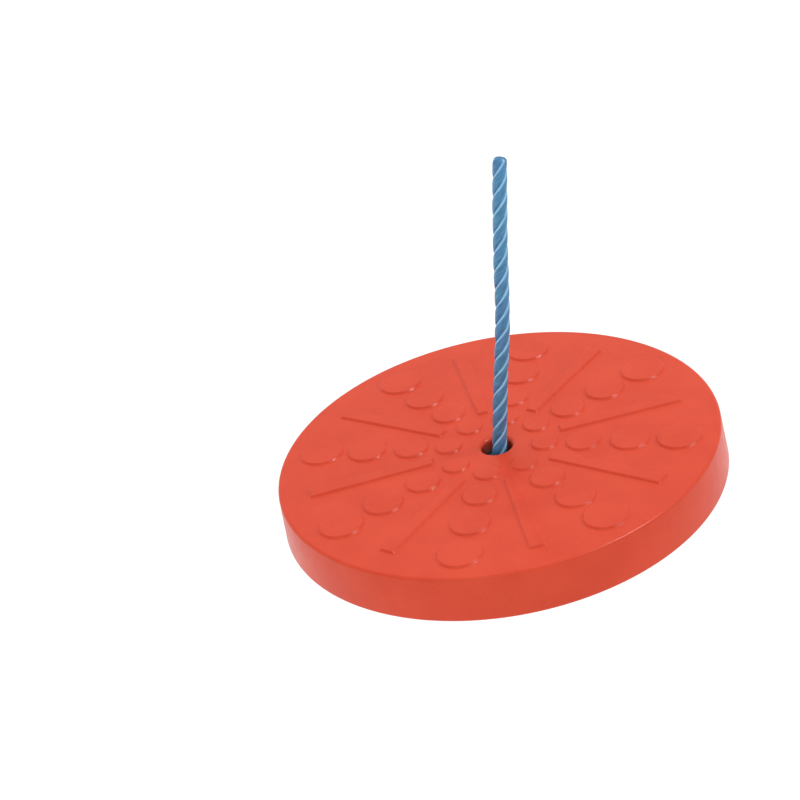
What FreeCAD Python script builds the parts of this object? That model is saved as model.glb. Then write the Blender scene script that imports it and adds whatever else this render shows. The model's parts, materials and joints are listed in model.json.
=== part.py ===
"""Disc seat hung on a single rope, as used on a play swing or a zip line.

The row frame has +Z up, along the hanging rope, and its origin at the rope's upper end.
Lengths are in millimetres and angles in degrees. The seat is drawn about its own axis
with the foot of its skirt on z = 0, then turned, leaned and hung on the pivot, which is
the middle of the washer.
"""
import FreeCAD, Part
import math
import os

import Sketcher

# Driving dimensions: alias, value, meaning.
DIMENSIONS = [
    ("seat_radius", 150.0, "outer radius of the deck"),
    ("skirt_height", 32.0, "deck's top face down to the foot of the skirt"),
    ("skirt_draft", 1.5, "how much wider the skirt is at its foot than at the deck"),
    ("skirt_wall", 4.5, "thickness of the skirt"),
    ("deck_wall", 5.0, "thickness of the deck"),
    ("top_round", 2.2, "rounding of the deck's outer edge"),
    ("foot_round", 1.8, "rounding of the skirt's foot"),
    ("hole_radius", 10.2, "radius of the rope hole"),
    ("hole_round", 3.0, "rounding of the hole's upper lip"),
    ("boss_radius", 23.0, "outer radius of the boss around the hole"),
    ("recess_radius", 20.0, "radius of the boss's recess, which the washer sits in"),
    ("boss_depth", 10.0, "deck's top face down to the boss's bearing face"),
    ("rib_wall", 3.0, "thickness of the stiffening ribs"),
    ("boss_foot", 13.0, "deck's top face down to the foot of the boss"),
    ("rib_depth", 3.5, "how far the ribs stand below the deck"),
    ("rib_overlap", 0.5, "how far a radial rib runs into the boss and the ledge"),
    ("ledge_wall", 2.0, "step inside the skirt that the ribs end on"),
    ("inner_ring", 58.0, "middle radius of the inner ring rib"),
    ("outer_ring", 104.0, "middle radius of the outer ring rib"),
    ("spoke_count", 8.0, "bars, dot rows and radial ribs round the seat"),
    ("relief", 1.4, "height of the raised grip pattern"),
    ("bar_start", 43.5, "radius of a raised bar's inner end"),
    ("bar_end", 129.0, "radius of a raised bar's outer end"),
    ("bar_start_half", 4.4, "half width of a bar at its inner end"),
    ("bar_end_half", 5.8, "half width of a bar at its outer end"),
    ("dot_place_a", 33.0, "radius at which the first dot of a row sits"),
    ("dot_place_b", 59.4, "the same for the second dot"),
    ("dot_place_c", 90.8, "the same for the third dot"),
    ("dot_place_d", 123.5, "the same for the fourth dot"),
    ("dot_radius_a", 9.2, "radius of the first dot"),
    ("dot_radius_b", 11.8, "radius of the second dot"),
    ("dot_radius_c", 13.6, "radius of the third dot"),
    ("dot_radius_d", 15.2, "radius of the fourth dot"),
    ("washer_bore", 6.5, "radius of the washer's hole"),
    ("washer_outer", 18.5, "outer radius of the washer"),
    ("washer_wall", 3.0, "thickness of the washer"),
    ("running_gap", 0.3, "clearance between the boss and the washer"),
    ("rope_radius", 5.0, "radius of the laid rope"),
    ("pivot_drop", 217.4, "rope's upper end down to the pivot in the washer"),
    ("lean", 10.0, "angle at which the seat rests, down on the -X side"),
    ("seat_turn", 8.8, "turn of the pattern about the seat's own axis"),
    ("knot_drop", 3.7, "pivot down to the top of the stopper knot"),
    ("knot_height", 26.0, "height of the knot"),
    ("knot_belly", 16.5, "largest radius of the knot"),
    ("knot_shoulder", 11.0, "radius of the knot's flat top and bottom"),
    ("knot_slope", 7.0, "height over which the knot widens to its belly"),
    ("knot_round", 2.5, "rounding of the knot's edges"),
    ("tip_height", 3.6, "height of a heat-sealed rope end"),
    ("tip_side", 1.4, "straight side of a sealed end below its crown"),
    ("tip_crown", 2.6, "radius of the flat left on top of a sealed end"),
    ("tip_round", 1.2, "rounding of a sealed end"),
]

# Route of the rope up from the knot to its upper end, as (x, z) in the row frame. The
# long shallow S is the set that the rope keeps from its coil.
ROPE_ROUTE = [(0.0, -221.1), (0.0, -169.0), (2.4, -113.0), (0.0, -55.0), (0.0, 0.0)]

# Route of the short tail down from the knot, in the same frame.
TAIL_ROUTE = [(0.0, -247.1), (0.0, -263.0), (3.0, -280.0)]

TANGENT_SHARE = 0.45  # share of the shorter run that a bend's tangent length takes up
VOLUME_TOLERANCE = 0.01


# ---------------------------------------------------------------- document helpers

def make_sheet(doc):
    """Put the driving dimensions into the document's sheet, each under its alias."""
    sheet = doc.addObject("Spreadsheet::Sheet", "Sheet")
    for row, (alias, value, meaning) in enumerate(DIMENSIONS, start=1):
        sheet.set(f"A{row}", str(value))
        sheet.setAlias(f"A{row}", alias)
        sheet.set(f"B{row}", meaning)
    doc.recompute()
    return sheet


def new_body(doc, label):
    """A PartDesign body whose label is the node's name."""
    body = doc.addObject("PartDesign::Body", label)
    body.Label = label
    return body


def origin_feature(body, role):
    """The body's own origin plane or axis with that role."""
    return [item for item in body.Origin.OriginFeatures if item.Role == role][0]


def new_sketch(body, name, plane="XY_Plane", height="0 mm"):
    """A sketch on one of the body's origin planes, raised along its normal."""
    sketch = body.newObject("Sketcher::SketchObject", name)
    sketch.AttachmentSupport = [(origin_feature(body, plane), "")]
    sketch.MapMode = "FlatFace"
    sketch.setExpression("AttachmentOffset.Base.z", height)
    return sketch


def start_values(sketch, place):
    """The current value of a pair of expressions, as a point of the sketch."""
    across, up = (float(sketch.evalExpression(expression)) for expression in place)
    return FreeCAD.Vector(across, up, 0)


def bind_point(sketch, geometry, position, place):
    """Dimension a point from the sketch's origin, each way by its own expression."""
    start = start_values(sketch, place)
    for direction, value, expression in zip(("DistanceX", "DistanceY"), start, place):
        constraint = Sketcher.Constraint(direction, -1, 1, geometry, position, value)
        number = sketch.addConstraint(constraint)
        sketch.setExpression(f"Constraints[{number}]", expression)


def add_outline(sketch, places):
    """A closed outline of straight lines whose corners follow the given expressions."""
    corners = [start_values(sketch, place) for place in places]
    for corner, following in zip(corners, corners[1:] + corners[:1]):
        sketch.addGeometry(Part.LineSegment(corner, following))
    for index, place in enumerate(places):
        following = (index + 1) % len(places)
        sketch.addConstraint(Sketcher.Constraint("Coincident", index, 2, following, 1))
        bind_point(sketch, index, 1, place)


def add_circle(sketch, place, radius):
    """A circle whose centre and radius follow expressions."""
    size = float(sketch.evalExpression(radius))
    normal = FreeCAD.Vector(0, 0, 1)
    geometry = sketch.addGeometry(Part.Circle(start_values(sketch, place), normal, size))
    bind_point(sketch, geometry, 3, place)
    number = sketch.addConstraint(Sketcher.Constraint("Radius", geometry, size))
    sketch.setExpression(f"Constraints[{number}]", radius)


def revolve(body, name, places):
    """Turn an outline of (radius, height) expressions about the body's Z axis."""
    sketch = new_sketch(body, name + "_section", "XZ_Plane")
    add_outline(sketch, places)
    feature = body.newObject("PartDesign::Revolution", name)
    feature.Profile = sketch
    feature.ReferenceAxis = (sketch, ["V_Axis"])
    feature.Angle = 360
    sketch.Visibility = False
    return feature


def pad(body, name, sketch, length):
    """Raise a sketch along its normal by an expression."""
    feature = body.newObject("PartDesign::Pad", name)
    feature.Profile = sketch
    feature.setExpression("Length", length)
    return feature


def repeat_round(body, name, originals):
    """Repeat features about the body's Z axis, once for each spoke of the pattern."""
    pattern = body.newObject("PartDesign::PolarPattern", name)
    pattern.Originals = originals
    pattern.Axis = (origin_feature(body, "Z_Axis"), [""])
    pattern.Angle = 360
    pattern.setExpression("Occurrences", "Sheet.spoke_count")
    body.Tip = pattern
    return pattern


def circle_edges(shape, radius, height):
    """Names of the full circles about Z with that radius, at that height."""
    names = []
    for number, edge in enumerate(shape.Edges, start=1):
        curve = edge.Curve
        round_edge = isinstance(curve, Part.Circle) and edge.isClosed()
        if round_edge and abs(curve.Radius - radius) < 0.01 and abs(curve.Center.z - height) < 0.01:
            names.append(f"Edge{number}")
    return names


def round_edges(body, name, places, radius):
    """Fillet the circles at the given (radius, height) expressions."""
    body.Document.recompute()
    base = body.Tip
    names = []
    for place in places:
        around, height = (float(base.evalExpression(expression)) for expression in place)
        names += circle_edges(base.Shape, around, height)
    fillet = body.newObject("PartDesign::Fillet", name)
    fillet.Base = (base, names)
    fillet.setExpression("Radius", radius)
    return fillet


# ---------------------------------------------------------------- seat

def seat_section():
    """Corners of the seat's half section: deck, skirt, ledge, two ring ribs and the boss."""
    deck_under = "Sheet.skirt_height - Sheet.deck_wall"
    rib_foot = f"{deck_under} - Sheet.rib_depth"
    corners = [
        ("Sheet.hole_radius", "Sheet.skirt_height"),
        ("Sheet.seat_radius", "Sheet.skirt_height"),
        ("Sheet.seat_radius + Sheet.skirt_draft", "0"),
        ("Sheet.seat_radius + Sheet.skirt_draft - Sheet.skirt_wall", "0"),
        ("Sheet.seat_radius - Sheet.skirt_wall", rib_foot),
        ("Sheet.seat_radius - Sheet.skirt_wall - Sheet.ledge_wall", rib_foot),
        ("Sheet.seat_radius - Sheet.skirt_wall - Sheet.ledge_wall", deck_under),
    ]
    for ring in ("Sheet.outer_ring", "Sheet.inner_ring"):
        outside = f"{ring} + Sheet.rib_wall / 2"
        inside = f"{ring} - Sheet.rib_wall / 2"
        corners += [(outside, deck_under), (outside, rib_foot)]
        corners += [(inside, rib_foot), (inside, deck_under)]
    corners += [
        ("Sheet.boss_radius", deck_under),
        ("Sheet.boss_radius", "Sheet.skirt_height - Sheet.boss_foot"),
        ("Sheet.recess_radius", "Sheet.skirt_height - Sheet.boss_foot"),
        ("Sheet.recess_radius", "Sheet.skirt_height - Sheet.boss_depth"),
        ("Sheet.hole_radius", "Sheet.skirt_height - Sheet.boss_depth"),
    ]
    return corners


def add_radial_ribs(body):
    """Ribs under the deck, from the boss out to the skirt."""
    foot = "Sheet.skirt_height - Sheet.deck_wall - Sheet.rib_depth"
    sketch = new_sketch(body, "rib_outline", height=foot)
    inner = "Sheet.boss_radius - Sheet.rib_overlap"
    outer = "Sheet.seat_radius - Sheet.skirt_wall - Sheet.ledge_wall + Sheet.rib_overlap"
    half = "Sheet.rib_wall / 2"
    add_outline(sketch, [(inner, "-" + half), (outer, "-" + half), (outer, half), (inner, half)])
    rib = pad(body, "rib", sketch, "Sheet.rib_depth")
    repeat_round(body, "radial_ribs", [rib])


def add_raised_bars(body):
    """Wedge-shaped bars on the deck, widening towards the rim."""
    sketch = new_sketch(body, "bar_outline", height="Sheet.skirt_height")
    add_outline(sketch, [
        ("Sheet.bar_start", "-Sheet.bar_start_half"),
        ("Sheet.bar_end", "-Sheet.bar_end_half"),
        ("Sheet.bar_end", "Sheet.bar_end_half"),
        ("Sheet.bar_start", "Sheet.bar_start_half"),
    ])
    bar = pad(body, "bar", sketch, "Sheet.relief")
    repeat_round(body, "raised_bars", [bar])


def add_raised_dots(body):
    """Rows of four round dots, each row midway between two bars."""
    sketch = new_sketch(body, "dot_outline", height="Sheet.skirt_height")
    midway = "180 deg / Sheet.spoke_count"
    for letter in "abcd":
        along = f"Sheet.dot_place_{letter}"
        place = (f"{along} * cos({midway})", f"{along} * sin({midway})")
        add_circle(sketch, place, f"Sheet.dot_radius_{letter}")
    dots = pad(body, "dot_row", sketch, "Sheet.relief")
    repeat_round(body, "raised_dots", [dots])


def make_seat(doc, sheet):
    """The moulded seat: deck, skirt, boss, ribs and raised grip pattern in one piece."""
    body = new_body(doc, "seat_disc")
    revolve(body, "shell", seat_section())
    top = "Sheet.skirt_height"
    foot_radius = "Sheet.seat_radius + Sheet.skirt_draft"
    round_edges(body, "deck_edge", [("Sheet.seat_radius", top)], "Sheet.top_round")
    foot_places = [(foot_radius, "0"), (f"{foot_radius} - Sheet.skirt_wall", "0")]
    round_edges(body, "skirt_foot", foot_places, "Sheet.foot_round")
    round_edges(body, "hole_lip", [("Sheet.hole_radius", top)], "Sheet.hole_round")
    add_radial_ribs(body)
    add_raised_bars(body)
    add_raised_dots(body)
    body.Placement = seat_placement(sheet)


def seat_placement(sheet):
    """Turn the seat about its axis, lean it about the pivot and hang it there."""
    washer_middle = sheet.washer_wall / 2
    pivot_height = sheet.skirt_height - sheet.boss_depth - sheet.running_gap - washer_middle
    to_pivot = FreeCAD.Placement(FreeCAD.Vector(0, 0, -pivot_height), FreeCAD.Rotation())
    turn = FreeCAD.Placement(FreeCAD.Vector(), FreeCAD.Rotation(FreeCAD.Vector(0, 0, 1), sheet.seat_turn))
    return hang_placement(sheet).multiply(turn).multiply(to_pivot)


def hang_placement(sheet):
    """Where a piece centred on the pivot goes: at the pivot, leaned with the seat."""
    lean = FreeCAD.Rotation(FreeCAD.Vector(0, 1, 0), -sheet.lean)
    return FreeCAD.Placement(FreeCAD.Vector(0, 0, -sheet.pivot_drop), lean)


# ---------------------------------------------------------------- washer

def make_washer(doc, sheet):
    """The wide washer that carries the seat's boss on the knot."""
    blank = doc.addObject("Part::Cylinder", "washer_blank")
    blank.setExpression("Radius", "Sheet.washer_outer")
    blank.setExpression("Height", "Sheet.washer_wall")
    bore = doc.addObject("Part::Cylinder", "washer_hole")
    bore.setExpression("Radius", "Sheet.washer_bore")
    bore.setExpression("Height", "Sheet.washer_wall")
    for solid in (blank, bore):
        solid.setExpression("Placement.Base.z", "-Sheet.washer_wall / 2")
    washer = doc.addObject("Part::Cut", "washer")
    washer.Base = blank
    washer.Tool = bore
    washer.Label = "washer"
    washer.Placement = hang_placement(sheet)


# ---------------------------------------------------------------- rope

def bend(before, corner, after):
    """Start, middle and end of the tangent arc at a corner of a route, and its radius."""
    run_in, run_out = corner - before, after - corner
    half_turn = run_in.getAngle(run_out) / 2
    tangent = TANGENT_SHARE * min(run_in.Length, run_out.Length)
    radius = tangent / math.tan(half_turn)
    start = corner - run_in.normalize() * tangent
    end = corner + run_out.normalize() * tangent
    inward = ((start + end) * 0.5 - corner).normalize()
    middle = corner + inward * radius * (1 / math.cos(half_turn) - 1)
    return start, middle, end, radius


def path_edges(label, route):
    """Straight runs and tangent arcs along a route, with the arcs' radii printed."""
    points = [FreeCAD.Vector(x, z, 0) for x, z in route]
    edges = []
    place = points[0]
    for before, corner, after in zip(points, points[1:], points[2:]):
        start, middle, end, radius = bend(before, corner, after)
        edges.append(Part.LineSegment(place, start))
        edges.append(Part.Arc(start, middle, end))
        print(f"{label}: bend radius {radius:.1f} mm")
        place = end
    edges.append(Part.LineSegment(place, points[-1]))
    return edges


def make_rope(doc, label, route):
    """A plain round tube along a route that lies in the row's XZ plane."""
    body = new_body(doc, label)
    path = new_sketch(body, label + "_path", "XZ_Plane")
    path.addGeometry(path_edges(label, route))
    section = new_sketch(body, label + "_section", height=f"{route[0][1]} mm")
    add_circle(section, (f"{route[0][0]} mm", "0 mm"), "Sheet.rope_radius")
    doc.recompute()
    tube = body.newObject("PartDesign::AdditivePipe", label + "_tube")
    tube.Profile = section
    tube.Spine = path
    return body, path, section


def check_tube(body, path, section):
    """Compare a tube's volume with its section times its length."""
    expected = Part.Face(section.Shape.Wires[0]).Area * path.Shape.Length
    volume = body.Shape.Volume
    print(f"{body.Label}: length {path.Shape.Length:.1f} mm, volume {volume:.0f} of {expected:.0f} mm3")
    if abs(volume / expected - 1) > VOLUME_TOLERANCE:
        raise ValueError(f"{body.Label}: the tube's volume isn't its section times its length")


def make_knot(doc, sheet):
    """Outer shape of the stopper knot tied below the washer."""
    body = new_body(doc, "stopper_knot")
    high = "Sheet.knot_height"
    revolve(body, "knot_form", [
        ("0", "0"),
        ("Sheet.knot_shoulder", "0"),
        ("Sheet.knot_belly", "Sheet.knot_slope"),
        ("Sheet.knot_belly", f"{high} - Sheet.knot_slope"),
        ("Sheet.knot_shoulder", high),
        ("0", high),
    ])
    rings = [("Sheet.knot_shoulder", "0"), ("Sheet.knot_shoulder", high)]
    rings += [("Sheet.knot_belly", "Sheet.knot_slope"), ("Sheet.knot_belly", f"{high} - Sheet.knot_slope")]
    round_edges(body, "knot_edges", rings, "Sheet.knot_round")
    depth = sheet.pivot_drop + sheet.knot_drop + sheet.knot_height
    body.Placement = FreeCAD.Placement(FreeCAD.Vector(0, 0, -depth), FreeCAD.Rotation())


def make_tip(doc, label, route):
    """A heat-sealed rope end, on the last point of a route and in line with it."""
    body = new_body(doc, label)
    revolve(body, label + "_form", [
        ("0", "0"),
        ("Sheet.rope_radius", "0"),
        ("Sheet.rope_radius", "Sheet.tip_side"),
        ("Sheet.tip_crown", "Sheet.tip_height"),
        ("0", "Sheet.tip_height"),
    ])
    rings = [("Sheet.rope_radius", "Sheet.tip_side"), ("Sheet.tip_crown", "Sheet.tip_height")]
    round_edges(body, label + "_edges", rings, "Sheet.tip_round")
    (x_before, z_before), (x_end, z_end) = route[-2:]
    direction = FreeCAD.Vector(x_end - x_before, 0, z_end - z_before)
    facing = FreeCAD.Rotation(FreeCAD.Vector(0, 0, 1), direction)
    body.Placement = FreeCAD.Placement(FreeCAD.Vector(x_end, 0, z_end), facing)


# ---------------------------------------------------------------- check and write

def check_document(doc, pieces):
    """Stop if an object failed to build, or a piece's shape isn't one valid solid."""
    for item in doc.Objects:
        if "Invalid" in item.State or "Error" in item.State:
            raise ValueError(f"{item.Name} failed: {item.State}")
    for piece in pieces:
        shape = piece.Shape
        if shape.isNull() or not shape.isValid() or len(shape.Solids) != 1:
            raise ValueError(f"{piece.Label}: not one valid solid")


def main():
    doc = FreeCAD.newDocument("disc_swing_seat")
    sheet = make_sheet(doc)
    make_seat(doc, sheet)
    make_washer(doc, sheet)
    make_knot(doc, sheet)
    tubes = [make_rope(doc, "rope", ROPE_ROUTE), make_rope(doc, "rope_tail", TAIL_ROUTE)]
    make_tip(doc, "rope_top_tip", ROPE_ROUTE)
    make_tip(doc, "rope_tail_tip", TAIL_ROUTE)
    doc.recompute()

    labels = ["seat_disc", "washer", "rope", "stopper_knot", "rope_tail", "rope_top_tip", "rope_tail_tip"]
    pieces = [doc.getObject(label) for label in labels]
    check_document(doc, pieces)
    for tube in tubes:
        check_tube(*tube)

    os.makedirs("parts", exist_ok=True)
    for piece in pieces:
        box = piece.Shape.BoundBox
        print(f"{piece.Label}: {box.XLength:.1f} x {box.YLength:.1f} x {box.ZLength:.1f} mm, "
              f"{piece.Shape.Volume / 1000:.1f} cm3")
        piece.Shape.exportStep(f"parts/{piece.Label}.step")


main()
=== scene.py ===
"""Disc seat on a single rope: the finished look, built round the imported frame.

Shapes are drawn in millimetres and scaled to metres when their mesh is made. The seat is
drawn about its own axis, with the foot of its skirt on height 0.
"""
import json
import math

import bmesh
import bpy
import numpy as np
from mathutils import Matrix, Vector, geometry


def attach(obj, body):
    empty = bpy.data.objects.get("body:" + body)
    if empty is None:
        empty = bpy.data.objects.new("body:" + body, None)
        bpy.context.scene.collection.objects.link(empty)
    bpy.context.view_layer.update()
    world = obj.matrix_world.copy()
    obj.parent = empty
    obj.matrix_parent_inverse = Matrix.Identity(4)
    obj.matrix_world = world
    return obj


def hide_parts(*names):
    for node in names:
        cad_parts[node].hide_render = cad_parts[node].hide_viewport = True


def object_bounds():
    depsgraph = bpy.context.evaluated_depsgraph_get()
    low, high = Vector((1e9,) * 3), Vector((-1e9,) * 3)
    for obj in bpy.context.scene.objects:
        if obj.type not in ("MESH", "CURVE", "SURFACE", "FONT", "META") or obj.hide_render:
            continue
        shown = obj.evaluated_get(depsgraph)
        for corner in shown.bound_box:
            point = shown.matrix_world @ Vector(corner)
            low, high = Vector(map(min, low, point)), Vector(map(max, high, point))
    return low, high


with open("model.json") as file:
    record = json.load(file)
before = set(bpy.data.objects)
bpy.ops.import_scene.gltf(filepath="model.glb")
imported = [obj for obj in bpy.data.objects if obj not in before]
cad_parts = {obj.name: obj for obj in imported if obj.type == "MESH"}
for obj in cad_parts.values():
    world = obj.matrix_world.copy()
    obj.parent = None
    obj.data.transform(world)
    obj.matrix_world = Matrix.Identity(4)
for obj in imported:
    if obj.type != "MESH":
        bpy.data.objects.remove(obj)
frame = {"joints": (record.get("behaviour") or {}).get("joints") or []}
CAD_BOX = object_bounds()
MM = 0.001

# ---------------------------------------------------------------- sizes, in millimetres

SEAT_RADIUS = 150.0
SEAT_TOP = 32.0
SKIRT_DRAFT = 1.4  # how much wider the skirt is at its foot
SKIRT_WALL = 4.5
DECK_WALL = 5.0
HOLE_RADIUS = 10.2
BOSS_RADIUS = 23.0
BOSS_FOOT = SEAT_TOP - 13.0
RECESS_RADIUS = 20.0
BEARING_HEIGHT = SEAT_TOP - 10.0  # the roof of the recess, which bears on the washer
RIB_HALF = 1.5  # half a rib's thickness
RIB_DEPTH = 3.5
WEB = SEAT_TOP - DECK_WALL - RIB_DEPTH  # height of the ribs' lower faces
RING_RIBS = (58.0, 104.0)
LEDGE_WALL = 2.0  # width of the ledge inside the skirt
POCKET_GAP = 2.5  # from the boss to the innermost pockets between the ribs
SPOKES = 8
SECTOR = 2 * math.pi / SPOKES

RELIEF = 1.4  # height of the grip pattern
FLANK = 1.7  # width of its sloping edges
BAR = {"start": 43.5, "end": 129.0, "start_half": 4.4, "end_half": 5.8}
DOTS = [(33.0, 9.2), (59.4, 11.8), (90.8, 13.6), (123.5, 15.2)]  # place and radius of each

WASHER_BORE = 6.5
WASHER_OUTER = 18.5
WASHER_WALL = 3.0
WASHER_GAP = 0.3  # between the washer and the roof of the recess
PIVOT_HEIGHT = BEARING_HEIGHT - WASHER_GAP - WASHER_WALL / 2

ROPE_RADIUS = 5.0
ROPE_LAY = 39.3  # length of one turn of the strands
ROPE_END_RADIUS = 4.65  # the rope's radius at its tight upper end
KNOT_ROPE_RADIUS = 4.4

# The rope's route up from the knot to its upper end, in metres in the row frame.
ROPE_ROUTE = [(0.0, 0.0, -0.2211), (0.0, 0.0, -0.169), (0.0024, 0.0, -0.113),
              (0.0, 0.0, -0.055), (0.0, 0.0, 0.0)]

# The tail's route down from the knot, in metres in the row frame.
TAIL_ROUTE = [(0.0, 0.0, -0.2471), (0.0, 0.0, -0.263), (0.003, 0.0, -0.28)]

spin_joint = next(joint for joint in frame["joints"] if joint["name"] == "seat_spin")
PIVOT = Vector(spin_joint["pos_m"])
SEAT_AXIS = Vector(spin_joint["axis"])
LEAN = math.atan2(-SEAT_AXIS.x, SEAT_AXIS.z)
SEAT_TURN = math.radians(8.8)  # how far the grip pattern is turned about the seat's axis

# The leaning frame at the pivot, and what takes each drawing in millimetres to its place.
HANG = Matrix.Translation(PIVOT) @ Matrix.Rotation(-LEAN, 4, "Y")
SEAT_PLACE = (HANG @ Matrix.Rotation(SEAT_TURN, 4, "Z")
              @ Matrix.Translation((0, 0, -PIVOT_HEIGHT * MM)) @ Matrix.Scale(MM, 4))
WASHER_PLACE = HANG @ Matrix.Scale(MM, 4)


# ---------------------------------------------------------------- mesh building

WHOLE_HULL = 0  # the triangulation's output type that keeps every triangle
MERGE_DISTANCE = 1e-5


class Surface:
    """Points and faces of one mesh, collected loop by loop."""

    def __init__(self):
        self.points = []
        self.faces = []

    def loop(self, points):
        """Add the points of a loop and return their indices."""
        start = len(self.points)
        self.points += [tuple(point) for point in points]
        return list(range(start, len(self.points)))

    def bridge(self, first, second):
        """Faces between two closed loops that have as many points each."""
        for near in range(len(first)):
            far = (near + 1) % len(first)
            self.faces.append((first[near], first[far], second[far], second[near]))

    def bridge_all(self, loops):
        """Faces between each loop and the next."""
        for first, second in zip(loops, loops[1:]):
            self.bridge(first, second)

    def cap(self, loop):
        """One flat face on a loop."""
        self.faces.append(tuple(loop))

    def bridge_and_close(self, loops):
        """Faces between each loop and the next, and on both ends."""
        self.bridge_all(loops)
        self.cap(loops[0])
        self.cap(loops[-1])

    def fill_between(self, outer, holes):
        """Triangles of the flat region inside an outer loop and outside the holes."""
        loops = [outer] + holes
        indices = [index for loop in loops for index in loop]
        flat = [Vector(self.points[index][:2]) for index in indices]
        edges = []
        for loop in loops:
            start = len(edges)
            edges += [(start + k, start + (k + 1) % len(loop)) for k in range(len(loop))]
        result = geometry.delaunay_2d_cdt(flat, edges, [], WHOLE_HULL, MERGE_DISTANCE)
        triangles = [[result[3][corner][0] for corner in triangle] for triangle in result[2]]
        centres = np.array([[flat[k][:] for k in triangle] for triangle in triangles]).mean(axis=1)
        keep = self.within(centres, outer)
        for hole in holes:
            keep &= ~self.within(centres, hole)
        for triangle, kept in zip(triangles, keep):
            if kept:
                self.faces.append(tuple(indices[k] for k in triangle))

    def within(self, places, loop):
        """Which of the flat places lie inside a loop."""
        outline = np.array([self.points[index][:2] for index in loop])
        crossings = np.zeros(len(places), dtype=int)
        for (x0, y0), (x1, y1) in zip(outline, np.roll(outline, -1, axis=0)):
            if y0 == y1:
                continue
            spans = (places[:, 1] > min(y0, y1)) & (places[:, 1] <= max(y0, y1))
            meets = x0 + (places[:, 1] - y0) * (x1 - x0) / (y1 - y0)
            crossings += spans & (places[:, 0] < meets)
        return crossings % 2 == 1

    def to_object(self, name, place, material):
        """Make the smooth-shaded Blender object, with its points moved by a matrix."""
        mesh = bpy.data.meshes.new(name)
        mesh.from_pydata(self.points, [], self.faces)
        mesh.transform(place)
        shape = bmesh.new()
        shape.from_mesh(mesh)
        bmesh.ops.recalc_face_normals(shape, faces=shape.faces)
        shape.to_mesh(mesh)
        shape.free()
        piece = bpy.data.objects.new(name, mesh)
        bpy.context.scene.collection.objects.link(piece)
        mesh.materials.append(material)
        mesh.shade_smooth()
        return piece


def circle(radius, height, segments, centre=(0.0, 0.0), phase=0.0):
    """Points of a level circle."""
    angles = phase + np.arange(segments) * 2 * math.pi / segments
    return [(centre[0] + radius * math.cos(a), centre[1] + radius * math.sin(a), height)
            for a in angles]


def arc(centre, radius, start, end, steps):
    """Section points (radius, height) along an arc, angles in degrees."""
    angles = np.radians(np.linspace(start, end, steps + 1))
    return [(centre[0] + radius * math.cos(a), centre[1] + radius * math.sin(a)) for a in angles]


def lathe(surface, section, segments):
    """Bridge a circle for each (radius, height) of the section; return the circles."""
    loops = [surface.loop(circle(radius, height, segments)) for radius, height in section]
    surface.bridge_all(loops)
    return loops


CORNER_STEPS = 5


def rounded_loop(sides, corner_size, side_steps, height):
    """Points along curved sides, each a function of 0..1, with their corners rounded."""
    cuts = [corner_size / (side(1.0) - side(0.0)).length for side in sides]
    points = []
    for index, side in enumerate(sides):
        following = (index + 1) % len(sides)
        cut = cuts[index]
        points += [side(cut + (1 - 2 * cut) * step / side_steps) for step in range(side_steps)]
        start, corner, end = side(1 - cut), side(1.0), sides[following](cuts[following])
        for step in range(CORNER_STEPS):
            t = step / CORNER_STEPS
            points.append(start * (1 - t) ** 2 + corner * 2 * t * (1 - t) + end * t ** 2)
    return [(point.x, point.y, height) for point in points]


def line_side(start, end):
    """A straight side between two flat points."""
    return lambda t: Vector(start).lerp(Vector(end), t)


def arc_side(radius, start, end):
    """A side along a circle about the seat's axis, angles in radians."""
    return lambda t: Vector((radius * math.cos(start + (end - start) * t),
                             radius * math.sin(start + (end - start) * t)))


def turned(points, angle):
    """Points turned about the seat's axis."""
    spin = Matrix.Rotation(angle, 3, "Z")
    return [tuple(spin @ Vector(point)) for point in points]


# ---------------------------------------------------------------- seat

DECK_SEGMENTS = 288
HOLE_SEGMENTS = 96
DOT_SEGMENTS = 60
LEVEL_STRIP = 0.45  # width of the level strips that keep the shading flat beside a rounding

# Radii of the roundings.
EDGE_ROUND = 2.2
FOOT_ROUND = 1.8
LIP_ROUND = 3.0
SMALL_ROUND = 0.6
BOSS_FILLET = 1.0
RECESS_FILLET = 0.5
DRAFT_ANGLE = 2  # degrees that the skirt's roundings stop short, for its draft

FLANK_STEPS = 9
FLANK_OUTSIDE = 0.35  # share of a flank's width that lies outside its nominal edge
BAR_CORNER = 1.3
BAR_SIDE_STEPS = 10
POCKET_CORNER = 2.2
POCKET_SIDE_STEPS = 16

# How a pocket's wall moves in and up from the web: rounded rib, slight draft, fillet.
POCKET_WALL = [(-0.7, 0.0), (-0.35, 0.0), (-0.12, 0.09), (0.0, 0.35), (0.1, 2.5), (0.28, 3.0),
               (0.6, 3.34), (1.1, RIB_DEPTH), (1.6, RIB_DEPTH)]

# Painted shade: the wall of the rope hole is darkened in the seat's colour, standing in for the
# shadow that falls in it.
PAINTED_SHADE_REACH = 1.6  # how far the painted shade in the rope hole spreads out from it
PAINTED_SHADE_DEPTH = 8.0  # depth in the hole at which the painted shade is darkest


def soft_flank():
    """How far a raised flank has moved in and up, with a narrow level strip at each end."""
    yield -FLANK * FLANK_OUTSIDE - LEVEL_STRIP, 0.0
    for step in range(FLANK_STEPS + 1):
        t = step / FLANK_STEPS
        yield FLANK * (t - FLANK_OUTSIDE), RELIEF * t * t * (3 - 2 * t)
    yield FLANK * (1 - FLANK_OUTSIDE) + LEVEL_STRIP, RELIEF


def add_feature(surface, outlines):
    """A raised or sunk feature from its outlines; returns the loop it leaves in the face."""
    loops = [surface.loop(outline) for outline in outlines]
    surface.bridge_all(loops)
    surface.cap(loops[-1])
    return loops[0]


def add_dot(surface, place, radius, angle):
    """A raised round dot of the grip pattern."""
    centre = (place * math.cos(angle), place * math.sin(angle))
    return add_feature(surface, [
        circle(radius - inward, SEAT_TOP + rise, DOT_SEGMENTS, centre, angle)
        for inward, rise in soft_flank()])


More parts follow.
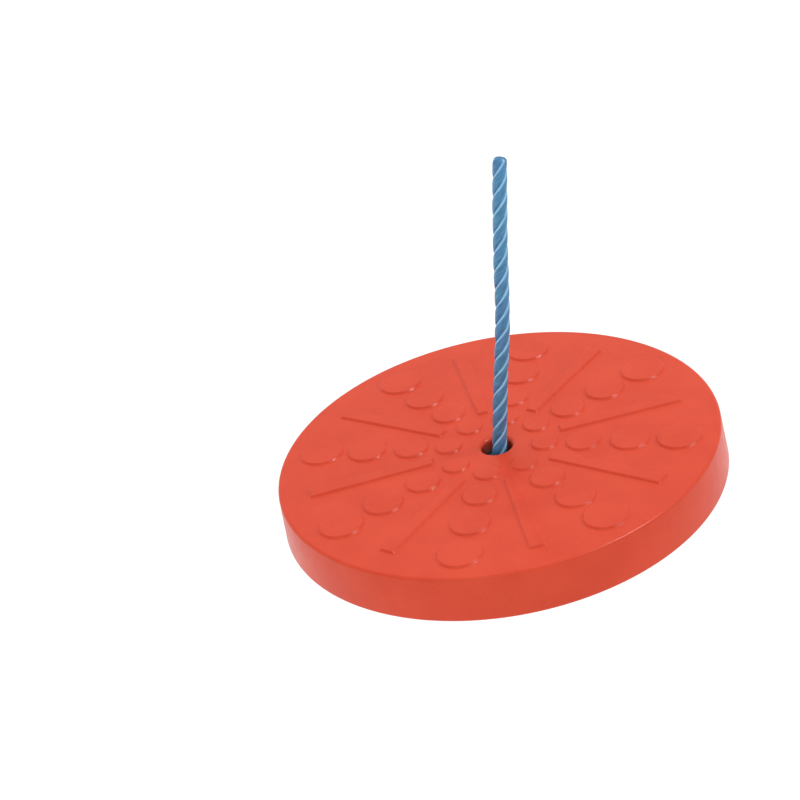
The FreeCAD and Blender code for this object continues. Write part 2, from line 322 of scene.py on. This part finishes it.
def bar_outline(inward, rise):
    """Outline of a raised bar, drawn in from its nominal edge."""
    start, end = BAR["start"] + inward, BAR["end"] - inward
    near, far = BAR["start_half"] - inward, BAR["end_half"] - inward
    corners = [(start, -near), (end, -far), (end, far), (start, near)]
    sides = [line_side(a, b) for a, b in zip(corners, corners[1:] + corners[:1])]
    return rounded_loop(sides, BAR_CORNER, BAR_SIDE_STEPS, SEAT_TOP + rise)


def add_bar(surface, angle):
    """A raised bar of the grip pattern."""
    return add_feature(surface, [turned(bar_outline(inward, rise), angle)
                                 for inward, rise in soft_flank()])


def pocket_outline(low, high, inward, rise):
    """Outline of a pocket between two ribs and two rings, drawn in from its edge."""
    near, far, half = low + inward, high - inward, RIB_HALF + inward
    near_angle, far_angle = math.asin(half / near), math.asin(half / far)
    near_end, far_end = SECTOR - near_angle, SECTOR - far_angle

    def at(radius, angle):
        return radius * math.cos(angle), radius * math.sin(angle)

    sides = [arc_side(far, far_angle, far_end),
             line_side(at(far, far_end), at(near, near_end)),
             arc_side(near, near_end, near_angle),
             line_side(at(near, near_angle), at(far, far_angle))]
    return rounded_loop(sides, POCKET_CORNER, POCKET_SIDE_STEPS, WEB + rise)


def add_pocket(surface, low, high, angle):
    """A shallow pocket in the underside, between two radii."""
    return add_feature(surface, [turned(pocket_outline(low, high, inward, rise), angle)
                                 for inward, rise in POCKET_WALL])


def rim_section():
    """Section from the deck's edge over the skirt to the web of ribs under the deck."""
    foot_radius = SEAT_RADIUS + SKIRT_DRAFT
    inner_foot = foot_radius - SKIRT_WALL
    edge = (SEAT_RADIUS - EDGE_ROUND, SEAT_TOP - EDGE_ROUND)
    outer_round = (foot_radius - FOOT_ROUND, FOOT_ROUND)
    inner_round = (inner_foot + FOOT_ROUND, FOOT_ROUND)
    ledge_edge = SEAT_RADIUS - SKIRT_WALL - SMALL_ROUND
    section = [(SEAT_RADIUS - EDGE_ROUND - LEVEL_STRIP, SEAT_TOP)]
    section += arc(edge, EDGE_ROUND, 90, DRAFT_ANGLE, steps=9)
    section += arc(outer_round, FOOT_ROUND, DRAFT_ANGLE, -90, steps=8)
    section += arc(inner_round, FOOT_ROUND, -90, DRAFT_ANGLE - 180, steps=8)
    section += arc((ledge_edge, WEB - SMALL_ROUND), SMALL_ROUND, 0, 90, steps=5)
    section.append((ledge_edge - LEVEL_STRIP, WEB))
    return section


def boss_section():
    """Section from the web of ribs down the boss, into the recess and up the hole."""
    fillet = (BOSS_RADIUS + BOSS_FILLET, WEB - BOSS_FILLET)
    outer_foot = (BOSS_RADIUS - SMALL_ROUND, BOSS_FOOT + SMALL_ROUND)
    inner_foot = (RECESS_RADIUS + SMALL_ROUND, BOSS_FOOT + SMALL_ROUND)
    recess = (RECESS_RADIUS - RECESS_FILLET, BEARING_HEIGHT - RECESS_FILLET)
    mouth = (HOLE_RADIUS + SMALL_ROUND, BEARING_HEIGHT + SMALL_ROUND)
    lip = (HOLE_RADIUS + LIP_ROUND, SEAT_TOP - LIP_ROUND)
    section = [(BOSS_RADIUS + BOSS_FILLET + LEVEL_STRIP, WEB)]
    section += arc(fillet, BOSS_FILLET, 90, 180, steps=5)
    section += arc(outer_foot, SMALL_ROUND, 0, -90, steps=4)
    section += arc(inner_foot, SMALL_ROUND, -90, -180, steps=4)
    section += arc(recess, RECESS_FILLET, 0, 90, steps=3)
    section += arc(mouth, SMALL_ROUND, -90, -180, steps=4)
    section += arc(lip, LIP_ROUND, 180, 90, steps=10)
    section.append((HOLE_RADIUS + LIP_ROUND + LEVEL_STRIP, SEAT_TOP))
    return section


def hole_painted_shade(points):
    """How much painted shade each point takes: dark low in the rope hole, none on the deck."""
    points = np.array(points)
    beyond = np.linalg.norm(points[:, :2], axis=1) - HOLE_RADIUS
    painted_shade = np.clip(1 - beyond / PAINTED_SHADE_REACH, 0.0, 1.0)
    return painted_shade * np.clip((SEAT_TOP - points[:, 2]) / PAINTED_SHADE_DEPTH, 0.0, 1.0)


def build_seat(material):
    """The moulded seat with its grip pattern, skirt, boss and ribs, as one closed mesh."""
    surface = Surface()
    rim = lathe(surface, rim_section(), DECK_SEGMENTS)
    boss = lathe(surface, boss_section(), HOLE_SEGMENTS)
    pocket_edges = [BOSS_RADIUS + POCKET_GAP]
    for ring in RING_RIBS:
        pocket_edges += [ring - RIB_HALF, ring + RIB_HALF]
    pocket_edges.append(SEAT_RADIUS - SKIRT_WALL - LEDGE_WALL)
    relief, pockets = [], []
    for spoke in range(SPOKES):
        angle = spoke * SECTOR
        relief.append(add_bar(surface, angle))
        relief += [add_dot(surface, place, radius, angle + SECTOR / 2) for place, radius in DOTS]
        for low, high in zip(pocket_edges[::2], pocket_edges[1::2]):
            pockets.append(add_pocket(surface, low, high, angle))
    surface.fill_between(rim[0], [boss[-1]] + relief)
    surface.fill_between(rim[-1], [boss[0]] + pockets)
    seat = surface.to_object("moulded_seat", SEAT_PLACE, material)
    # The rope hole's painted shade, kept on the points for the material.
    layer = seat.data.attributes.new("hole_painted_shade", "FLOAT", "POINT")
    layer.data.foreach_set("value", hole_painted_shade(surface.points).astype(np.float32))
    return seat


# ---------------------------------------------------------------- washer

WASHER_ROUND = 0.5  # rounding of its upper edges; its lower ones have half of that


def build_washer(material):
    """The steel washer, drawn about its middle."""
    half, upper, lower = WASHER_WALL / 2, WASHER_ROUND, WASHER_ROUND / 2
    section = arc((WASHER_BORE + upper, half - upper), upper, 180, 90, steps=4)
    section += arc((WASHER_OUTER - upper, half - upper), upper, 90, 0, steps=4)
    section += arc((WASHER_OUTER - lower, lower - half), lower, 0, -90, steps=3)
    section += arc((WASHER_BORE + lower, lower - half), lower, -90, -180, steps=3)
    surface = Surface()
    loops = lathe(surface, section, HOLE_SEGMENTS)
    surface.bridge(loops[-1], loops[0])
    return surface.to_object("steel_washer", WASHER_PLACE, material)


# ---------------------------------------------------------------- rope

ROUTE_STEPS = 24  # points of the smooth line for each step of its route
RING_STEP = 0.8

STRANDS = 3
STRAND_PITCH = 2 * math.pi / STRANDS
STRAND_HALF = math.radians(59.3)  # half the angle that one strand takes up round the rope
CROWN_POINTS = 44
FLANK_POINTS = 6
CROWN_SHARE = 0.8  # share of a strand's outline that shows on the rope's outside

# Shares of the rope's radius.
GROOVE = 0.2  # depth of the grooves between strands
CROWN_FALL = 0.035  # how far a strand's crown falls to its sides, before the groove
STRAND_ROOT = 0.12  # reach of a strand's hidden inner side
YARN_RIDGE = 0.016

YARNS = 9
YARN_TURNS = -0.6  # turns of the yarns in a strand for each turn of the lay
SWELLS = [(0.047, 1.0, 0.014), (0.0213, 2.0, 0.009)]  # metres, phase, share of the radius
ROPE_PHASE = math.radians(44.0)
KNOT_PHASE = math.radians(180.0)

TIP_HEIGHT = 3.6
SEAL_SEGMENTS = 120
SEAL_RINGS = 12
SEAL_COLLAR = [(-0.8, 0.93), (-0.15, 0.985)]  # rings in the rope's end: height, share of radius
SEAL_SHARE = 0.985  # the seal's radius as a share of the rope's
SEAL_SIDE = 1.0  # height of a sealed end's straight side
SEAL_SQUARENESS = 0.72  # 1 for a round cap, less for a flatter one
SEAL_PINCH = 0.02  # smallest ring, so that it stays open
SEAL_FILL = 0.8  # share of the grooves' depth that is filled at the top
SEAL_MERGE = 1.6  # how slowly the strands' colours run together up a sealed end

# The knot, in millimetres from the lower end of the rope's route.
KNOT_ENTRY = [(0, 0, 0), (-0.8, 0, -4.0), (-4.0, 0.3, -9.0), (-4.2, -0.5, -16.0),
              (-2.5, -4.0, -22.0)]
KNOT_EXIT = [(5.2, 3.5, -5.5), (4.4, 0.8, -11.0), (4.2, 0.0, -17.0), (2.2, 0.0, -22.5)]
KNOT_COIL_STEPS = 15
KNOT_COIL_START = -75.0
KNOT_COIL_TURN = 690.0
KNOT_COIL_LOW = -21.4
KNOT_COIL_HIGH = -4.7
KNOT_COIL_REACH = 12.8
KNOT_EASE = 8.0  # length over which the rope thins into the knot


def smooth_path(route):
    """Points of the smooth line through a route, as an array in metres."""
    curve = bpy.data.curves.new("route", "CURVE")
    curve.dimensions = "3D"
    curve.resolution_u = ROUTE_STEPS
    spline = curve.splines.new("NURBS")
    spline.points.add(len(route) - 1)
    for point, place in zip(spline.points, route):
        point.co = (*place, 1.0)
    spline.order_u = 3
    spline.use_endpoint_u = True
    holder = bpy.data.objects.new("route", curve)
    line = bpy.data.meshes.new_from_object(holder)
    points = np.array([vertex.co[:] for vertex in line.vertices])
    bpy.data.objects.remove(holder)
    bpy.data.meshes.remove(line)
    bpy.data.curves.remove(curve)
    return points


def evenly_spaced(points, step):
    """The same line with points about one step apart, and the distance of each."""
    lengths = np.linalg.norm(np.diff(points, axis=0), axis=1)
    along = np.concatenate([[0.0], np.cumsum(lengths)])
    count = max(2, round(along[-1] / step))
    places = np.linspace(0.0, along[-1], count + 1)
    line = np.stack([np.interp(places, along, points[:, axis]) for axis in range(3)], axis=1)
    return line, places


def carried_frames(line):
    """Two sideways directions at each point, carried along the line without twisting."""
    tangents = np.gradient(line, axis=0)
    tangents /= np.linalg.norm(tangents, axis=1)[:, None]
    side = np.cross(tangents[0], (0.0, 1.0, 0.0))
    sides = []
    for tangent in tangents:
        side = side - tangent * np.dot(side, tangent)
        side = side / np.linalg.norm(side)
        sides.append(side)
    sides = np.array(sides)
    return sides, np.cross(tangents, sides)


def lay_turn(distance):
    """How far the strands have turned round the rope at a distance along it."""
    return 2 * math.pi * distance / (ROPE_LAY * MM)


def crown_reach(offset):
    """How far a strand reaches at an angle from its middle, as a share of the radius."""
    edge = abs(offset) / STRAND_HALF
    return 1 - GROOVE * edge ** 5 - CROWN_FALL * edge ** 2


def strand_section(radius, turn):
    """Outline of one strand: angles off its middle, reaches from the axis, shares round it."""
    crown = np.linspace(0.0, 1.0, CROWN_POINTS)
    ridges = np.cos(2 * math.pi * (YARNS * crown + YARN_TURNS * YARNS * turn / (2 * math.pi)))
    offsets = (2 * crown - 1) * STRAND_HALF
    reaches = crown_reach(offsets) * (1 + YARN_RIDGE * ridges)
    inward = np.linspace(0.0, 1.0, FLANK_POINTS + 1)[1:]
    flank = 1 - GROOVE - (1 - GROOVE - STRAND_ROOT) * inward
    flank_offsets = np.full(FLANK_POINTS, STRAND_HALF)
    hidden = 2 * FLANK_POINTS
    shares = CROWN_SHARE + (1 - CROWN_SHARE) * np.arange(1, hidden + 1) / (hidden + 1)
    return (np.concatenate([offsets, flank_offsets, -flank_offsets]),
            np.concatenate([reaches, flank, flank[::-1]]) * radius,
            np.concatenate([crown * CROWN_SHARE, shares]))


def uneven(distances):
    """Small swellings and tight places along a laid rope, as a factor on its radius."""
    factor = np.ones(len(distances))
    for length, phase, size in SWELLS:
        factor += size * np.sin(2 * math.pi * distances / length + phase)
    return factor


def rope_object(name, surface, material, rope_places):
    """Make a rope's object; each point keeps its place round its strand and along the rope."""
    piece = surface.to_object(name, Matrix.Identity(4), material)
    layer = piece.data.attributes.new("rope_place", "FLOAT_VECTOR", "POINT")
    layer.data.foreach_set("vector", np.array(rope_places, dtype=np.float32).ravel())
    return piece


def laid_rope(name, line, distances, radii, material, phase):
    """Three strands laid right-handed round a line, each a closed ridged tube."""
    sides, ups = carried_frames(line)
    surface = Surface()
    rope_places = []
    for strand in range(STRANDS):
        loops = []
        for point, side, up, distance, radius in zip(line, sides, ups, distances, radii):
            turn = lay_turn(distance)
            offsets, reaches, around = strand_section(radius * MM, turn)
            angles = phase + turn + 2 * math.pi * strand / STRANDS + offsets
            across = np.outer(np.cos(angles), side) + np.outer(np.sin(angles), up)
            loops.append(surface.loop(point + across * reaches[:, None]))
            rope_places += [(share, distance, strand) for share in around]
        surface.bridge_and_close(loops)
    return rope_object(name, surface, material, rope_places)


def nearest_strand(angle):
    """Which strand an angle round the rope falls on, and the angle off its middle."""
    strand = round(angle / STRAND_PITCH)
    return strand % STRANDS, angle - strand * STRAND_PITCH


def seal_rings():
    """Height above the rope's end, and shares of its radius and of its grooves' depth."""
    for height, share in SEAL_COLLAR:
        yield height, share, 1.0
    for step in range(SEAL_RINGS + 1):
        turn = math.pi / 2 * step / SEAL_RINGS
        height = SEAL_SIDE + (TIP_HEIGHT - SEAL_SIDE) * math.sin(turn) ** SEAL_SQUARENESS
        reach = max(math.cos(turn), SEAL_PINCH) ** SEAL_SQUARENESS
        yield height, SEAL_SHARE * reach, 1 - SEAL_FILL * step / SEAL_RINGS


def sealed_end(name, line, length, radius, material, phase):
    """A melted rope end: the strands' outline, drawn out to a rounded cap."""
    sides, ups = carried_frames(line)
    side, up = sides[-1], ups[-1]
    tangent = np.cross(side, up)
    surface = Surface()
    loops = []
    rope_places = []
    for height, share, groove in seal_rings():
        distance = length + height * MM
        turn = phase + lay_turn(distance)
        centre = line[-1] + tangent * height * MM
        merge = min(1.0, SEAL_MERGE * groove)
        points = []
        for step in range(SEAL_SEGMENTS):
            angle = 2 * math.pi * step / SEAL_SEGMENTS
            strand, offset = nearest_strand(angle - turn)
            reach = radius * MM * share * (1 - (1 - crown_reach(offset)) * groove)
            points.append(centre + (side * math.cos(angle) + up * math.sin(angle)) * reach)
            crown = (merge * offset / STRAND_HALF + 1) / 2
            rope_places.append((min(max(crown, 0.0), 1.0) * CROWN_SHARE, distance, strand))
        loops.append(surface.loop(points))
    surface.bridge_and_close(loops)
    return rope_object(name, surface, material, rope_places)


def knot_route():
    """The tied stopper: down inside its own coil, twice round, back down inside and out.

    Metres in the row frame. It starts where the rope's route starts and runs on as the tail.
    """
    coil = []
    for step in range(KNOT_COIL_STEPS + 1):
        share = step / KNOT_COIL_STEPS
        angle = math.radians(KNOT_COIL_START + KNOT_COIL_TURN * share)
        height = KNOT_COIL_LOW + (KNOT_COIL_HIGH - KNOT_COIL_LOW) * share
        coil.append((KNOT_COIL_REACH * math.cos(angle), KNOT_COIL_REACH * math.sin(angle), height))
    top = Vector(ROPE_ROUTE[0])
    route = [tuple(top + Vector(place) * MM) for place in KNOT_ENTRY + coil + KNOT_EXIT]
    return route + TAIL_ROUTE


def build_knot(material):
    """The stopper knot and its tail, one run of rope; returned with its line and length."""
    line, distances = evenly_spaced(smooth_path(knot_route()), RING_STEP * MM)
    from_ends = np.minimum(distances, distances[-1] - distances)
    squeeze = np.clip(from_ends / (KNOT_EASE * MM), 0.0, 1.0)
    radii = ROPE_RADIUS + (KNOT_ROPE_RADIUS - ROPE_RADIUS) * squeeze
    knot = laid_rope("stopper_knot_tied", line, distances, radii, material, KNOT_PHASE)
    return knot, line, distances[-1]


# ---------------------------------------------------------------- materials

def srgb(red, green, blue):
    """A display colour of 0..255 parts as a linear colour."""
    parts = [part / 255 for part in (red, green, blue)]
    return (*[part / 12.92 if part <= 0.04045 else ((part + 0.055) / 1.055) ** 2.4
              for part in parts], 1.0)


PER_MM = 1000.0  # noise scale for one cell a millimetre, on coordinates in metres

SEAT_BRIGHT = srgb(212, 70, 42)
SEAT_DEEP = srgb(206, 65, 38)
SEAT_PALE = srgb(219, 92, 68)
# Painted shade for the rope hole: the dark colour mixed into its wall where shadow falls.
SEAT_PAINTED_SHADE = srgb(58, 22, 16)
PAINTED_SHADE_STRENGTH = 0.85

ROPE_DARK = srgb(34, 88, 132)
ROPE_MID = srgb(74, 146, 200)
ROPE_TEAL = srgb(64, 152, 188)
# Painted highlight colour for the pale band on each strand's lit edge.
ROPE_PAINTED_HIGHLIGHT = srgb(148, 204, 238)
FILAMENTS = 17.0  # filament noise cells round a strand
FILAMENT_CELLS = 150.0  # and along a metre of it
STRAND_APART = 9.0  # step in the noise from one strand to the next

# The painted highlight along one edge of each strand, where light from above catches it, drawn as
# a pale yarn; in shares round it.
PAINTED_HIGHLIGHT_START = 0.06
PAINTED_HIGHLIGHT_END = 0.12
PAINTED_HIGHLIGHT_EDGE = 0.09

ZINC_DARK = srgb(138, 142, 147)
ZINC_LIGHT = srgb(166, 169, 172)

WHITE = (1.0, 1.0, 1.0, 1.0)
FLOOR_COLOUR = (0.96, 0.96, 0.96, 1.0)
FLOOR_GLOW = 0.1


class Material:
    """A node material with a Principled shader, and short calls to add nodes to it."""

    def __init__(self, name, **settings):
        self.made = bpy.data.materials.new(name)
        self.made.use_nodes = True
        self.nodes = self.made.node_tree.nodes
        self.links = self.made.node_tree.links
        self.shader = self.nodes["Principled BSDF"]
        for socket, value in settings.items():
            self.set(socket.replace("_", " "), value)

    def set(self, socket, value):
        """Feed a socket of the shader."""
        self.feed(self.shader.inputs[socket], value)

    def feed(self, socket, value):
        """Link a socket given as a value to this one, or set a plain value on it."""
        if isinstance(value, bpy.types.NodeSocket):
            self.links.new(value, socket)
        else:
            socket.default_value = value

    def node(self, kind, **inputs):
        """A node with its inputs fed."""
        made = self.nodes.new("ShaderNode" + kind)
        for name, value in inputs.items():
            self.feed(made.inputs[name.replace("_", " ")], value)
        return made

    def object_place(self):
        return self.nodes.new("ShaderNodeTexCoord").outputs["Object"]

    def attribute(self, name, output):
        made = self.nodes.new("ShaderNodeAttribute")
        made.attribute_name = name
        return made.outputs[output]

    def noise(self, place, scale, detail, roughness=0.5):
        made = self.node("TexNoise", Vector=place, Scale=scale, Detail=detail, Roughness=roughness)
        return made.outputs["Fac"]

    def math(self, operation, first, second):
        made = self.nodes.new("ShaderNodeMath")
        made.operation = operation
        self.feed(made.inputs[0], first)
        self.feed(made.inputs[1], second)
        return made.outputs[0]

    def remap(self, value, low, high, new_low=0.0, new_high=1.0):
        """A value's range low..high stretched to another, and clipped to it."""
        made = self.node("MapRange", Value=value, From_Min=low, From_Max=high, To_Min=new_low,
                         To_Max=new_high)
        return made.outputs["Result"]

    def mix(self, share, first, second):
        """Two colours mixed by a share."""
        made = self.nodes.new("ShaderNodeMix")
        made.data_type = "RGBA"
        self.feed(made.inputs["Factor"], share)
        colours = [socket for socket in made.inputs if socket.type == "RGBA"]
        self.feed(colours[0], first)
        self.feed(colours[1], second)
        return [socket for socket in made.outputs if socket.type == "RGBA"][0]

    def bump(self, heights):
        """Chain bumps of (height, strength, distance in metres) onto the shader's normal."""
        normal = None
        for height, strength, distance in heights:
            made = self.node("Bump", Height=height, Strength=strength, Distance=distance)
            if normal:
                self.feed(made.inputs["Normal"], normal)
            normal = made.outputs["Normal"]
        self.set("Normal", normal)


def seat_plastic():
    """Satin moulded polyethylene: fine grain, faint mottling, and painted shade darkening the rope
    hole.
    """
    made = Material("seat_plastic", Roughness=0.45, Specular_IOR_Level=0.14, Coat_Weight=0.16,
                    Coat_Roughness=0.16)
    place = made.object_place()
    mottling = made.noise(place, 0.035 * PER_MM, detail=4.0)
    colour = made.mix(made.remap(mottling, 0.35, 0.65), SEAT_DEEP, SEAT_BRIGHT)
    speckle = made.noise(place, 0.7 * PER_MM, detail=2.0)
    colour = made.mix(made.remap(speckle, 0.55, 0.8, 0.0, 0.25), colour, SEAT_PALE)
    # Painted shade: the rope hole's wall darkened towards its depth, standing in for the shadow in
    # it.
    painted_shade = made.math("MULTIPLY", made.attribute("hole_painted_shade", "Fac"), PAINTED_SHADE_STRENGTH)
    made.set("Base Color", made.mix(painted_shade, colour, SEAT_PAINTED_SHADE))
    wear = made.noise(place, 0.12 * PER_MM, detail=5.0)
    made.set("Roughness", made.remap(wear, 0.3, 0.7, 0.33, 0.42))
    grain = made.noise(place, 1.6 * PER_MM, detail=3.0, roughness=0.6)
    swell = made.noise(place, 0.06 * PER_MM, detail=2.0)
    made.bump([(swell, 0.12, 0.0004), (grain, 0.25, 0.00008)])
    return made.made


def rope_fibre(name, melt):
    """Laid polypropylene: fine filaments along each yarn, and a painted highlight along one edge
    of each strand, drawn as a pale yarn.

    melt runs from 0, loose fibre, to 1, fibre melted together.
    """
    made = Material(name, Roughness=0.36 + 0.14 * melt, Specular_IOR_Level=0.6,
                    Sheen_Weight=0.2 * (1 - melt), Sheen_Roughness=0.4)
    place = made.node("SeparateXYZ", Vector=made.attribute("rope_place", "Vector"))
    around, along, strand = place.outputs["X"], place.outputs["Y"], place.outputs["Z"]
    lay_turns = made.math("MULTIPLY", along, CROWN_SHARE * YARN_TURNS / (ROPE_LAY * MM))
    yarn = made.math("ADD", around, lay_turns)
    thread = made.node("CombineXYZ", X=made.math("MULTIPLY", yarn, FILAMENTS),
                       Y=made.math("MULTIPLY", along, FILAMENT_CELLS),
                       Z=made.math("MULTIPLY", strand, STRAND_APART))
    filaments = made.noise(thread.outputs["Vector"], 1.0, detail=4.0, roughness=0.65)
    patches = made.noise(made.object_place(), 0.07 * PER_MM, detail=2.0)
    weathered = made.mix(made.remap(patches, 0.35, 0.65), ROPE_TEAL, ROPE_MID)
    lit = made.remap(filaments, 0.35, 0.62, 0.0, 1.0 - 0.3 * melt)
    colour = made.mix(lit, ROPE_DARK, weathered)
    # Painted highlight: a pale band on the edge of each strand that faces the light from above,
    # broken up by the filaments.
    rise = made.remap(around, PAINTED_HIGHLIGHT_START - PAINTED_HIGHLIGHT_EDGE, PAINTED_HIGHLIGHT_START)
    fall = made.remap(around, PAINTED_HIGHLIGHT_END, PAINTED_HIGHLIGHT_END + PAINTED_HIGHLIGHT_EDGE, 1.0, 0.0)
    painted_highlight = made.math("MULTIPLY", rise, fall)
    highlight_breakup = made.remap(filaments, 0.3, 0.6, 0.55, 1.0 - 0.25 * melt)
    made.set("Base Color", made.mix(made.math("MULTIPLY", painted_highlight, highlight_breakup), colour, ROPE_PAINTED_HIGHLIGHT))
    made.bump([(filaments, 0.6 - 0.35 * melt, 0.00018)])
    return made.made


def washer_steel():
    """Zinc-plated steel with a soft spangle and fine turning marks."""
    made = Material("washer_steel", Roughness=0.35, Metallic=1.0)
    place = made.object_place()
    spangle = made.noise(place, 0.4 * PER_MM, detail=3.0)
    made.set("Base Color", made.mix(made.remap(spangle, 0.35, 0.65), ZINC_DARK, ZINC_LIGHT))
    made.set("Roughness", made.remap(spangle, 0.3, 0.7, 0.25, 0.45))
    marks = made.noise(place, 3.0 * PER_MM, detail=2.0)
    made.bump([(marks, 0.15, 0.00004)])
    return made.made


def plain_floor():
    """The pale, even studio floor."""
    return Material("floor", Roughness=0.9, Base_Color=FLOOR_COLOUR, Emission_Color=WHITE,
                    Emission_Strength=FLOOR_GLOW).made


# ---------------------------------------------------------------- lights and camera

VIEW_ELEVATION = math.radians(30.375)
CAMERA_ROLL = math.radians(1.508)
CAMERA_DISTANCE = 1.472
CAMERA_LENS = 99.0
SENSOR = 36.0
CLIP_END = 100.0
AIM_LEFT = 0.0646  # how far left of the rope hole the camera aims, in metres
AIM_ABOVE = 0.0302  # and how far above it
FLOOR_DROP = 1.6  # from the lowest point of the part to the floor
FLOOR_SIZE = 60.0
WORLD_LIGHT = 0.76  # brightness of the surroundings as a light
WORLD_SEEN = 1.0  # and as a backdrop


def place_camera():
    """A camera at the photo's height and roll; the seat hangs right of where it aims."""
    hole = SEAT_PLACE @ Vector((0, 0, SEAT_TOP))
    back = Vector((0, -math.cos(VIEW_ELEVATION), math.sin(VIEW_ELEVATION)))
    level_up = Vector((0, math.sin(VIEW_ELEVATION), math.cos(VIEW_ELEVATION)))
    level_right = Vector((1, 0, 0))
    right = level_right * math.cos(CAMERA_ROLL) - level_up * math.sin(CAMERA_ROLL)
    up = level_right * math.sin(CAMERA_ROLL) + level_up * math.cos(CAMERA_ROLL)
    data = bpy.data.cameras.new("camera")
    data.lens = CAMERA_LENS
    data.sensor_width = SENSOR
    data.clip_end = CLIP_END
    camera = bpy.data.objects.new("camera", data)
    aim = hole - right * AIM_LEFT + up * AIM_ABOVE
    turn = Matrix((right, up, back)).transposed().to_4x4()
    camera.matrix_world = Matrix.Translation(aim + back * CAMERA_DISTANCE) @ turn
    bpy.context.scene.collection.objects.link(camera)
    bpy.context.scene.camera = camera


def add_light(name, kind, place, power):
    """A light aimed at the seat from a place in metres."""
    data = bpy.data.lights.new(name, kind)
    data.energy = power
    light = bpy.data.objects.new(name, data)
    light.location = place
    light.rotation_euler = (PIVOT - Vector(place)).to_track_quat("-Z", "Y").to_euler()
    bpy.context.scene.collection.objects.link(light)
    return light


def soft_box(name, place, side, power):
    """A square area light, its side in metres."""
    light = add_light(name, "AREA", place, power)
    light.data.shape = "SQUARE"
    light.data.size = side
    return light


def sky_light(name, place, spread, power):
    """An even light from far away, blurred by a spread in degrees, that leaves no glare."""
    light = add_light(name, "SUN", place, power)
    light.data.angle = math.radians(spread)
    light.visible_glossy = False


def light_studio():
    """White surroundings, light from above and behind, a key, a fill and a gleam on edges."""
    world = bpy.data.worlds.new("studio")
    world.use_nodes = True
    nodes, links = world.node_tree.nodes, world.node_tree.links
    background = nodes["Background"]
    background.inputs["Color"].default_value = WHITE
    strength = nodes.new("ShaderNodeMapRange")
    strength.inputs["To Min"].default_value = WORLD_LIGHT
    strength.inputs["To Max"].default_value = WORLD_SEEN
    links.new(nodes.new("ShaderNodeLightPath").outputs["Is Camera Ray"], strength.inputs["Value"])
    links.new(strength.outputs["Result"], background.inputs["Strength"])
    bpy.context.scene.world = world
    sky_light("overhead", (-0.3, 1.1, 1.5), spread=50.0, power=1.0)
    key = soft_box("key", (1.35, 0.12, 0.8), side=0.5, power=6.5)
    key.visible_glossy = False
    soft_box("fill", (-0.7, -1.3, 0.8), side=0.9, power=4.0)
    gleam = soft_box("gleam", (0.75, -0.3, 1.25), side=0.6, power=20.0)
    gleam.visible_diffuse = False
    bpy.context.scene.view_settings.view_transform = "Standard"


def lay_floor():
    """A wide floor well below the hanging seat."""
    surface = Surface()
    half = FLOOR_SIZE / 2
    height = CAD_BOX[0].z - FLOOR_DROP
    corners = [(x * half, y * half, height) for x, y in ((-1, -1), (1, -1), (1, 1), (-1, 1))]
    surface.cap(surface.loop(corners))
    surface.to_object("floor", Matrix.Identity(4), plain_floor())


# ---------------------------------------------------------------- assembly

def declare(piece, body, nodes):
    """Make a piece move with a body and stand for CAD nodes, whose own meshes are hidden."""
    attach(piece, body)
    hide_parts(*nodes)


fibre = rope_fibre("rope_fibre", 0.0)
sealed = rope_fibre("rope_sealed_end", 1.0)

seat = build_seat(seat_plastic())
declare(seat, "seat", ["seat_disc"])

washer = build_washer(washer_steel())
declare(washer, "washer", ["washer"])

rope_line, rope_places = evenly_spaced(smooth_path(ROPE_ROUTE), RING_STEP * MM)
rope_radii = np.linspace(ROPE_RADIUS, ROPE_END_RADIUS, len(rope_line)) * uneven(rope_places)
rope = laid_rope("laid_rope", rope_line, rope_places, rope_radii, fibre, ROPE_PHASE)
declare(rope, "rope", ["rope"])

knot, knot_line, knot_length = build_knot(fibre)
declare(knot, "rope", ["stopper_knot", "rope_tail"])

top_seal = sealed_end("rope_top_seal", rope_line, rope_places[-1], rope_radii[-1], sealed,
                      ROPE_PHASE)
declare(top_seal, "rope", ["rope_top_tip"])

tail_seal = sealed_end("rope_tail_seal", knot_line, knot_length, ROPE_RADIUS, sealed, KNOT_PHASE)
declare(tail_seal, "rope", ["rope_tail_tip"])

place_camera()
light_studio()
lay_floor()
